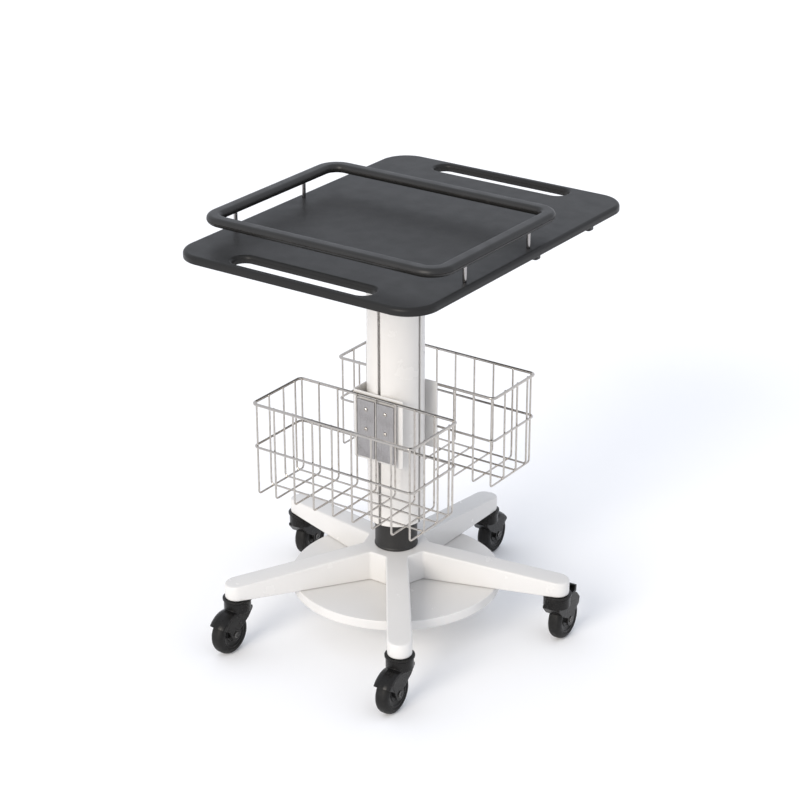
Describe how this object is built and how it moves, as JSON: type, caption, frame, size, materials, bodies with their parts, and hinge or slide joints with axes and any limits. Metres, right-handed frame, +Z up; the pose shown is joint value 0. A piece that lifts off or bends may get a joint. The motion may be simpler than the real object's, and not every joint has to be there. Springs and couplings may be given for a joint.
{
  "type": "medication cart",
  "caption": "Medication cart: handled worktop with a guard rail on a slotted column, two wire baskets, and a weighted star base on swivel casters, some with brake pedals.",
  "frame": {"origin": "on the floor under the middle of the cart's footprint box", "axes": "+Z up; the worktop's long side runs along Y, its short side along X; -Y is the end with the guard rail"},
  "size_m": [0.5692, 0.6179, 0.7307],
  "materials": {
    "black_laminate": "satin black laminate",
    "black_rail": "satin moulded black",
    "white_coating": "warm white powder coat",
    "black_collar": "matte moulded black",
    "brushed_steel": "brushed",
    "bright_wire": "bright electropolished wire",
    "black_nylon": "satin moulded nylon",
    "grey_black_tyre": "smooth black tread"
  },
  "bodies": {
    "frame": {"star_base": "white_coating", "ballast_plate": "white_coating", "centre_bolt": "brushed_steel", "base_collar": "black_collar", "inner_post": "brushed_steel", "column": "white_coating", "top_plate": "brushed_steel", "worktop": "black_laminate", "worktop_batten_middle": "black_rail", "worktop_batten_rear": "black_rail", "guard_rail": "black_rail", "rail_post_front_left": "brushed_steel", "rail_post_front_right": "brushed_steel", "rail_post_rear_left": "brushed_steel", "rail_post_rear_right": "brushed_steel", "basket_bracket": "white_coating", "slot_nut_front": "brushed_steel", "slot_nut_rear": "brushed_steel", "basket_front": "bright_wire", "basket_rear": "bright_wire", "clamp_plate_front_left": "brushed_steel", "clamp_screw_front_left_1": "bright_wire", "clamp_screw_front_left_2": "bright_wire", "clamp_plate_front_right": "brushed_steel", "clamp_screw_front_right_1": "bright_wire", "clamp_screw_front_right_2": "bright_wire", "clamp_plate_rear_left": "brushed_steel", "clamp_screw_rear_left_1": "bright_wire", "clamp_screw_rear_left_2": "bright_wire", "clamp_plate_rear_right": "brushed_steel", "clamp_screw_rear_right_1": "bright_wire", "clamp_screw_rear_right_2": "bright_wire", "caster_cap_rear": "black_nylon", "caster_cap_right": "black_nylon", "caster_cap_front_right": "black_nylon", "caster_cap_front_left": "black_nylon", "caster_cap_left": "black_nylon"},
    "caster_rear": {"caster_fork_rear": "black_nylon", "caster_axle_rear": "brushed_steel"},
    "wheel_rear": {"wheel_tyre_rear": "grey_black_tyre", "wheel_hub_rear": "black_nylon"},
    "caster_right": {"caster_fork_right": "black_nylon", "caster_axle_right": "brushed_steel"},
    "wheel_right": {"wheel_tyre_right": "grey_black_tyre", "wheel_hub_right": "black_nylon"},
    "brake_right": {"brake_pedal_right": "black_nylon"},
    "caster_front_right": {"caster_fork_front_right": "black_nylon", "caster_axle_front_right": "brushed_steel"},
    "wheel_front_right": {"wheel_tyre_front_right": "grey_black_tyre", "wheel_hub_front_right": "black_nylon"},
    "caster_front_left": {"caster_fork_front_left": "black_nylon", "caster_axle_front_left": "brushed_steel"},
    "wheel_front_left": {"wheel_tyre_front_left": "grey_black_tyre", "wheel_hub_front_left": "black_nylon"},
    "caster_left": {"caster_fork_left": "black_nylon", "caster_axle_left": "brushed_steel"},
    "wheel_left": {"wheel_tyre_left": "grey_black_tyre", "wheel_hub_left": "black_nylon"},
    "brake_left": {"brake_pedal_left": "black_nylon"}
  },
  "joints": [
    {"name": "swivel_rear", "type": "hinge", "parent": "frame", "child": "caster_rear", "pos_m": [0, 0.245, 0.0865], "axis": [0, 0, 1], "continuous": true},
    {"name": "spin_rear", "type": "hinge", "parent": "caster_rear", "child": "wheel_rear", "pos_m": [-0.00119, 0.26767, 0.0355], "axis": [0.9986, 0.0523, 0], "continuous": true},
    {"name": "swivel_right", "type": "hinge", "parent": "frame", "child": "caster_right", "pos_m": [0.26059, 0.05567, 0.0865], "axis": [0, 0, 1], "continuous": true},
    {"name": "spin_right", "type": "hinge", "parent": "caster_right", "child": "wheel_right", "pos_m": [0.2594, 0.07834, 0.0355], "axis": [0.9986, 0.0523, 0], "continuous": true},
    {"name": "brake_press_right", "type": "hinge", "parent": "caster_right", "child": "brake_right", "pos_m": [0.25886, 0.08862, 0.0785], "axis": [-0.9986, -0.0523, 0], "range_deg": [0, 11]},
    {"name": "swivel_front_right", "type": "hinge", "parent": "frame", "child": "caster_front_right", "pos_m": [0.16105, -0.25067, 0.0865], "axis": [0, 0, 1], "continuous": true},
    {"name": "spin_front_right", "type": "hinge", "parent": "caster_front_right", "child": "wheel_front_right", "pos_m": [0.16184, -0.27336, 0.0355], "axis": [-0.9994, -0.0349, 0], "continuous": true},
    {"name": "swivel_front_left", "type": "hinge", "parent": "frame", "child": "caster_front_left", "pos_m": [-0.16105, -0.25067, 0.0865], "axis": [0, 0, 1], "continuous": true},
    {"name": "spin_front_left", "type": "hinge", "parent": "caster_front_left", "child": "wheel_front_left", "pos_m": [-0.16184, -0.27336, 0.0355], "axis": [-0.9994, 0.0349, 0], "continuous": true},
    {"name": "swivel_left", "type": "hinge", "parent": "frame", "child": "caster_left", "pos_m": [-0.26059, 0.05567, 0.0865], "axis": [0, 0, 1], "continuous": true},
    {"name": "spin_left", "type": "hinge", "parent": "caster_left", "child": "wheel_left", "pos_m": [-0.26178, 0.07834, 0.0355], "axis": [0.9986, 0.0523, 0], "continuous": true},
    {"name": "brake_press_left", "type": "hinge", "parent": "caster_left", "child": "brake_left", "pos_m": [-0.26232, 0.08862, 0.0785], "axis": [-0.9986, -0.0523, 0], "range_deg": [0, 11]}
  ]
}
